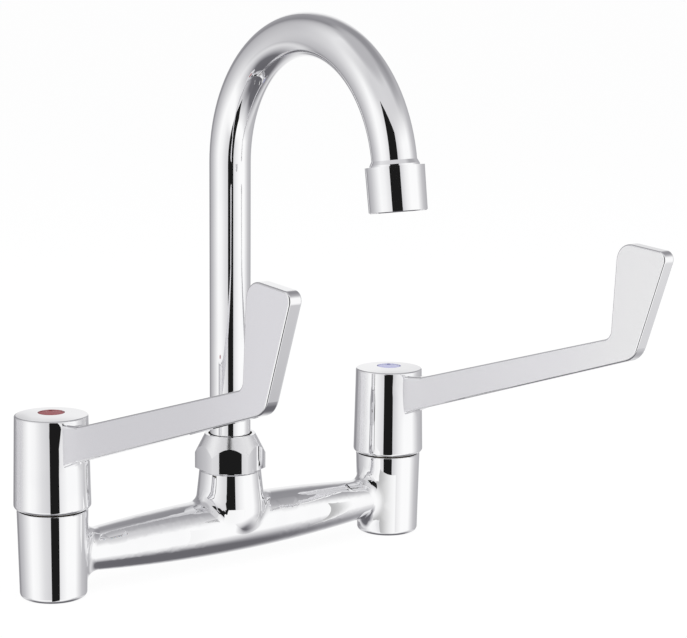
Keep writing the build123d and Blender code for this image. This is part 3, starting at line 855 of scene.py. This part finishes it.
class Assembly:
    """A sub-assembly: the pieces that it adds to its solids, and the finish of each of its solids."""

    def finishes(self) -> dict[str, Finish]:
        """Returns the finish of each of its solids, by the solid's name."""
        raise NotImplementedError

    def build(self) -> list[Object]:
        """Returns the pieces that it adds: none, where its solids are whole."""
        return []

    def dress(self) -> None:
        """Gives each of its solids its finish."""
        for node, finish in self.finishes().items():
            dress(node, finish)


@dataclass(frozen=True)
class BridgeCasting(Assembly):
    """The cast bridge with its barrels, its neck and the spigot for the spout nut.

    Attributes:
        inlet_minor: radius of the inlet bores.
        inlet_margin: how far past that radius the bare brass goes.
        thread_pitch: pitch of the inlets' pipe thread.
        thread_depth: how far its crests stand in the bore.
        thread_sunk: how far the ridge's foot lies in the bore's wall.
        inlet_turns: how many turns each inlet has.
    """

    inlet_minor: float = 9.32 * MILLIMETRE
    inlet_margin: float = 0.15 * MILLIMETRE
    thread_pitch: float = 1.814 * MILLIMETRE
    thread_depth: float = 0.35 * MILLIMETRE
    thread_sunk: float = 0.02 * MILLIMETRE
    inlet_turns: int = 5

    def build(self) -> list[Object]:
        """Adds the inlet threads, from the barrels' feet upwards.

        Returns:
            The two threads.
        """
        threads = []
        for side in Side:
            thread = Thread(
                f"{side.value}_inlet_thread",
                radius=self.inlet_minor + self.thread_sunk,
                height=-self.thread_depth,
                pitch=self.thread_pitch,
                turns=self.inlet_turns,
                start=pillar_axis(side) + Vector((0.0, 0.0, self.thread_pitch / 2)),
            ).build()
            threads.append(finish_piece(thread, "mixer_body", BRASS))
        return threads

    def finishes(self) -> dict[str, Finish]:
        """Picks chrome for the casting, with its bores left bare.

        Returns:
            The casting's finish, by its name.
        """
        radius = self.inlet_minor + self.inlet_margin
        bores = tuple((tuple(pillar_axis(side)), radius) for side in Side)
        return {"bridge_body": Chrome("cast_chrome", wave_depth=9e-6, waves=40.0, bores=bores)}


@dataclass(frozen=True)
class Pillar(Assembly):
    """One pillar's headwork, lever and index button.

    Attributes:
        side: which pillar it is.
        index: the finish of its button.
        lever: the finish of its lever.
    """

    side: Side
    index: Finish
    lever: Finish

    def finishes(self) -> dict[str, Finish]:
        """Picks finishes for the pillar's solids, whose names all start with its side.

        Returns:
            The finish of each solid, by its name.
        """
        finishes = {
            # Painted shade: the dark valve body stands for the shade in the slit under the cap
            "valve_body": SLIT_SHADE_BRASS,
            "valve_body_o_ring": RUBBER,
            "seat_seal": RUBBER,
            "fixed_disc": CERAMIC,
            "moving_disc": CERAMIC,
            "valve_spindle": BRASS,
            "spindle_o_rings": RUBBER,
            "spindle_circlip": SPRING_STEEL,
            "handle": self.lever,
            "handle_screw": STAINLESS,
            "index_button": self.index,
        }
        return {f"{self.side.value}_{part}": finish for part, finish in finishes.items()}


@dataclass(frozen=True)
class Spout(Assembly):
    """The swan-neck tube, its bush and what holds it under the nut.

    Attributes:
        tube: the finish of the tube.
        nut: the finish of the nut.
    """

    tube: Finish = TUBE_CHROME
    nut: Finish = NUT_CHROME

    def finishes(self) -> dict[str, Finish]:
        """Picks finishes for the tube and for all that holds it in the neck.

        Returns:
            The finish of each solid, by its name.
        """
        return {
            "spout_tube": self.tube,
            "spout_bush": BRASS,
            "spout_o_rings": RUBBER,
            "spout_snap_ring": SPRING_STEEL,
            "spout_slip_washers": NYLON,
            "spout_nut": self.nut,
        }


@dataclass(frozen=True)
class Outlet(Assembly):
    """The collar at the end of the spout and the aerator screwed on it.

    Attributes:
        plate: the finish of the collar and of the aerator's housing.
    """

    plate: Finish = OUTLET_CHROME

    def finishes(self) -> dict[str, Finish]:
        """Picks finishes for the collar and for the aerator's pieces.

        Returns:
            The finish of each solid, by its name.
        """
        return {
            "outlet_collar": self.plate,
            "aerator_housing": self.plate,
            "aerator_washer": RUBBER,
            "aerator_insert": ACETAL,
            "aerator_mesh": STAINLESS,
        }


def pillar_axis(side: Side) -> Vector:
    """Finds a pillar's axis by the O-ring round its valve body.

    Args:
        side: which pillar it is.

    Returns:
        The point where the axis meets the deck.
    """
    low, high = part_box(f"{side.value}_valve_body_o_ring")
    middle = (low + high) / 2
    return Vector((middle.x, middle.y, 0.0))


def finish_piece(piece: Object, body: str, finish: Finish) -> Object:
    """Gives a new piece its finish, its body and the slot that it takes its finish from.

    Args:
        piece: the new piece.
        body: the body that it rides on.
        finish: its finish.

    Returns:
        The piece.
    """
    piece.data.materials.clear()
    piece.data.materials.append(finish.material())
    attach(piece, body)
    return piece


# ---------------------------------------------------------------- studio


@dataclass(frozen=True)
class Viewpoint:
    """Where the camera stands and how it looks at the mixer.

    Attributes:
        place: the camera's place.
        bearing: the angle of its view from +Y towards +X.
        pitch: how far it looks down.
        roll: how far it is turned about its view.
        lens: its focal length in millimetres, on the sensor below.
        sensor: the sensor's width in millimetres.
    """

    place: Place = (-0.50818, -0.73437, 0.25811)
    bearing: float = radians(37.872)
    pitch: float = radians(9.453)
    roll: float = radians(0.509)
    lens: float = 108.09
    sensor: float = 36.0

    def build(self) -> None:
        """Adds the camera and makes it the scene's own."""
        right = Vector((cos(self.bearing), -sin(self.bearing), 0.0))
        ahead = Vector((sin(self.bearing), cos(self.bearing), 0.0)) * cos(self.pitch)
        ahead.z = -sin(self.pitch)
        above = right.cross(ahead)
        rolled_right = right * cos(self.roll) + above * sin(self.roll)
        rolled_up = above * cos(self.roll) - right * sin(self.roll)
        turn = Matrix((rolled_right, rolled_up, -ahead)).transposed().to_4x4()
        data = bpy.data.cameras.new("camera")
        data.lens = self.lens
        data.sensor_width = self.sensor
        data.sensor_fit = "HORIZONTAL"
        camera = bpy.data.objects.new("camera", data)
        camera.matrix_world = Matrix.Translation(self.place) @ turn
        bpy.context.scene.collection.objects.link(camera)
        bpy.context.scene.camera = camera


def sines(band: tuple[float, float]) -> tuple[float, float]:
    """Returns the sines of a band's two angles, which are given in degrees."""
    return sin(radians(band[0])), sin(radians(band[1]))


@dataclass(frozen=True)
class Room:
    """The pale room that the chrome mirrors.

    Its tones are given by bearing, in shares of a half turn from the side that faces the camera,
    below zero to the left and above it to the right, and by depth, in shares of a right angle.

    Attributes:
        front: the bearing of the side that faces the camera, from +X towards +Y.
        level: tones by bearing at the height of the horizon.
        raised: tones by bearing well above the horizon.
        below: tones by depth, from straight down at -1 to the horizon at 0.
        front_share: the bearings between which the light from the front fades below the horizon.
        front_lift: how far that light reaches down, in shares of a half turn.
        raised_band: the heights between which level goes over to raised, in degrees.
        steep_band: the heights and depths between which the tone becomes overhead, in degrees.
        sunk_band: the heights between which white takes over, for depth alone to shade, in degrees.
        overhead: the tone straight above.
        cast: the power that each tone is raised to in red, green and blue, which cools the greys.
    """

    front: float = radians(232.128)
    level: Tones = (
        (-1.0, 0.92),
        (-0.94, 0.86),
        (-0.92, 0.38),
        (-0.78, 0.27),
        (-0.73, 0.44),
        (-0.6, 0.57),
        (-0.5, 0.74),
        (-0.4, 0.94),
        (-0.36, 1.0),
        (-0.25, 0.95),
        (-0.12, 0.76),
        (0.0, 0.66),
        (0.1, 0.66),
        (0.2, 0.88),
        (0.3, 1.0),
        (0.48, 1.0),
        (0.56, 0.78),
        (0.66, 0.56),
        (0.8, 0.47),
        (0.9, 0.42),
        (0.94, 0.75),
        (1.0, 0.9),
    )
    raised: Tones = (
        (-1.0, 0.3),
        (-0.92, 0.32),
        (-0.77, 0.26),
        (-0.68, 0.5),
        (-0.5, 0.8),
        (-0.2, 0.66),
        (0.0, 0.68),
        (0.4, 0.66),
        (0.53, 0.42),
        (0.7, 0.3),
        (0.9, 0.28),
        (1.0, 0.3),
    )
    below: Tones = (
        (-1.0, 0.12),
        (-0.6, 0.15),
        (-0.565, 0.23),
        (-0.52, 0.35),
        (-0.455, 0.53),
        (-0.39, 0.67),
        (-0.31, 0.82),
        (-0.22, 1.0),
    )
    front_share: tuple[float, float] = (0.22, 0.53)
    front_lift: float = 0.12
    raised_band: tuple[float, float] = (18.0, 46.0)
    steep_band: tuple[float, float] = (58.0, 78.0)
    sunk_band: tuple[float, float] = (-34.0, -22.0)
    overhead: float = 0.48
    cast: Colour = (1.0, 1.01, 0.96)

    def grey(self, tone: float) -> Colour:
        """Returns a tone as a colour with the room's cast."""
        return tuple(tone**power for power in self.cast)

    def ramp(self, graph: Graph, value: NodeSocket, tones: Tones) -> NodeSocket:
        """Adds a ramp of greys.

        Args:
            graph: the world's tree.
            value: where the ramp is read, from 0 to 1.
            tones: its stops, each a place from -1 to 1 and a tone.

        Returns:
            The tone's socket.
        """
        node = graph.add("ShaderNodeValToRGB")
        stops = node.color_ramp.elements
        while len(stops) < len(tones):
            stops.new(1.0)
        for stop, (position, tone) in zip(stops, tones):
            stop.position = (1.0 + position) / 2
            stop.color = (*self.grey(tone), OPAQUE)
        graph.join(value, node.inputs["Fac"])
        return node.outputs["Color"]

    def build(self) -> None:
        """Makes the world: plain white behind the mixer, and the room's tones in the chrome."""
        world = bpy.data.worlds.new("room")
        world.use_nodes = True
        bpy.context.scene.world = world
        graph = Graph(world.node_tree)
        generated = graph.add("ShaderNodeTexCoord").outputs["Generated"]
        axes = graph.axes(graph.mapped(generated, "Rotation", (0.0, 0.0, -self.front)))
        height = axes["Z"]
        bearing = graph.math("ARCTAN2", axes["Y"], axes["X"])
        # The bearing round the horizon, from 0 to 1 as the ramps are read
        around = graph.math("ADD", graph.math("MULTIPLY", bearing, 0.5 / pi), 0.5)
        level = self.ramp(graph, around, self.level)
        raised = self.ramp(graph, around, self.raised)
        tone = graph.mix(graph.spread(height, *sines(self.raised_band)), level, raised)
        steep = graph.spread(graph.math("ABSOLUTE", height), *sines(self.steep_band))
        tone = graph.mix(steep, tone, self.grey(self.overhead))
        sunk = graph.spread(height, *sines(self.sunk_band), 1.0, 0.0)
        tone = graph.mix(sunk, tone, WHITE)
        # The height from 0 straight down to 1 straight up, lifted where light comes from the front
        rise = graph.math("MULTIPLY", graph.math("ARCSINE", height), 1.0 / pi)
        aside = graph.math("ABSOLUTE", graph.math("DIVIDE", bearing, pi))
        lit = graph.spread(aside, *self.front_share, self.front_lift, 0.0)
        depth = graph.math("ADD", graph.math("ADD", rise, 0.5), lit)
        shaded = graph.add("ShaderNodeVectorMath", operation="MULTIPLY")
        graph.join(tone, shaded.inputs[0])
        graph.join(self.ramp(graph, depth, self.below), shaded.inputs[1])
        seen = graph.add("ShaderNodeLightPath").outputs["Is Camera Ray"]
        background = graph.add("ShaderNodeBackground")
        output = graph.add("ShaderNodeOutputWorld")
        graph.join(graph.mix(seen, shaded.outputs[0], WHITE), background.inputs["Color"])
        graph.join(background.outputs[0], output.inputs["Surface"])


@dataclass(frozen=True)
class Card:
    """An upright card that only mirrors see, and that glows with a grey that may change along it.

    Attributes:
        name: the card's name.
        left: where its left foot stands.
        right: where its right foot stands.
        low: the height of its lower edge.
        high: the height of its upper edge.
        tones: its grey at the left foot and at the right one.
    """

    name: str
    left: tuple[float, float]
    right: tuple[float, float]
    low: float
    high: float
    tones: tuple[float, float]

    def build(self) -> None:
        """Adds the card in its place."""
        start_clean()
        bpy.ops.mesh.primitive_plane_add(size=1.0)
        card = bpy.context.object
        card.name = self.name
        corners = [(*foot, height) for height in (self.low, self.high) for foot in (self.left, self.right)]
        for vertex, corner in zip(card.data.vertices, corners):
            vertex.co = corner
        material, graph, surface = new_material(self.name)
        along = graph.axes(graph.add("ShaderNodeTexCoord").outputs["Generated"])["X"]
        glow = graph.add("ShaderNodeEmission")
        graph.join(graph.spread(along, 0.0, 1.0, *self.tones), glow.inputs["Color"])
        graph.join(glow.outputs[0], surface)
        card.data.materials.append(material)
        card.visible_camera = False
        card.visible_diffuse = False
        card.visible_shadow = False
        card.visible_transmission = False


@dataclass(frozen=True)
class Lamp:
    """A round soft lamp that mirrors don't see.

    Attributes:
        name: the lamp's name.
        place: where it hangs.
        size: its diameter.
        power: its power in watts.
        target: the point that it faces.
    """

    name: str
    place: Place
    size: float
    power: float
    target: Place = (0.0, -0.05, 0.1)

    def build(self) -> None:
        """Adds the lamp in its place."""
        data = bpy.data.lights.new(self.name, "AREA")
        data.shape = "DISK"
        data.size = self.size
        data.energy = self.power
        lamp = bpy.data.objects.new(self.name, data)
        lamp.location = self.place
        ahead = Vector(self.target) - Vector(self.place)
        lamp.rotation_euler = ahead.to_track_quat("-Z", "Y").to_euler()
        lamp.visible_glossy = False
        bpy.context.scene.collection.objects.link(lamp)


@dataclass(frozen=True)
class Studio:
    """The floor, the cards that the chrome mirrors, and the soft lamps.

    Attributes:
        floor_size: the side of the square floor.
        floor_grey: the tone of the part of the floor that takes light and shadow.
        floor_white: how much of the floor is plain white instead.
        floor_glow: how bright the plain white is.
        cards: the cards that only mirrors see.
        lamps: a large lamp above, and a smaller one at the user's left.
    """

    floor_size: float = 60.0
    floor_grey: float = 0.95
    floor_white: float = 0.9
    floor_glow: float = 1.035
    cards: tuple[Card, ...] = (
        Card("dark_card", (-0.3, -0.285), (-0.2, -0.65), low=-0.5, high=0.5, tones=(0.012, 0.012)),
        Card("neck_card", (-0.021, -0.027), (0.003, -0.043), low=0.0, high=0.0255, tones=(0.95, 1.0)),
        Card("barrel_card", (0.056, -0.019), (0.082, -0.029), low=-0.02, high=0.025, tones=(0.5, 0.98)),
    )
    lamps: tuple[Lamp, ...] = (
        Lamp("top_lamp", (0.1, -0.25, 1.4), size=1.4, power=8.0),
        Lamp("side_lamp", (-1.1, -0.8, 0.7), size=0.8, power=4.0),
    )

    def build(self) -> None:
        """Builds the floor, the cards and the lamps."""
        self.build_floor()
        for piece in (*self.cards, *self.lamps):
            piece.build()

    def build_floor(self) -> None:
        """Adds the pale floor at the deck's level."""
        start_clean()
        bpy.ops.mesh.primitive_plane_add(size=self.floor_size)
        floor = bpy.context.object
        floor.name = "floor"
        material, graph, surface = new_material("floor_white")
        lit = graph.add("ShaderNodeBsdfDiffuse")
        lit.inputs["Color"].default_value = (self.floor_grey,) * 3 + (OPAQUE,)
        plain = graph.add("ShaderNodeEmission")
        plain.inputs["Strength"].default_value = self.floor_glow
        blend = graph.add("ShaderNodeMixShader")
        blend.inputs["Fac"].default_value = self.floor_white
        graph.join(lit.outputs[0], blend.inputs[1])
        graph.join(plain.outputs[0], blend.inputs[2])
        graph.join(blend.outputs[0], surface)
        floor.data.materials.append(material)
        floor.visible_glossy = False


# ---------------------------------------------------------------- the whole mixer


def main() -> None:
    """Builds and dresses the mixer, then sets up the studio."""
    assemblies = (
        BridgeCasting(),
        Pillar(Side.HOT, RED_INDEX, SHADED_HOT_LEVER),
        Pillar(Side.COLD, BLUE_INDEX, LIT_COLD_LEVER),
        Spout(),
        Outlet(),
    )
    for assembly in assemblies:
        for piece in assembly.build():
            log.info("%s: %s", type(assembly).__name__, piece.name)
        assembly.dress()
        log.info("%s dressed", type(assembly).__name__)
    Room().build()
    Studio().build()
    Viewpoint().build()
    bpy.context.scene.view_settings.view_transform = "Standard"


if __name__ == "__main__":
    logging.basicConfig(level=logging.INFO)
    main()
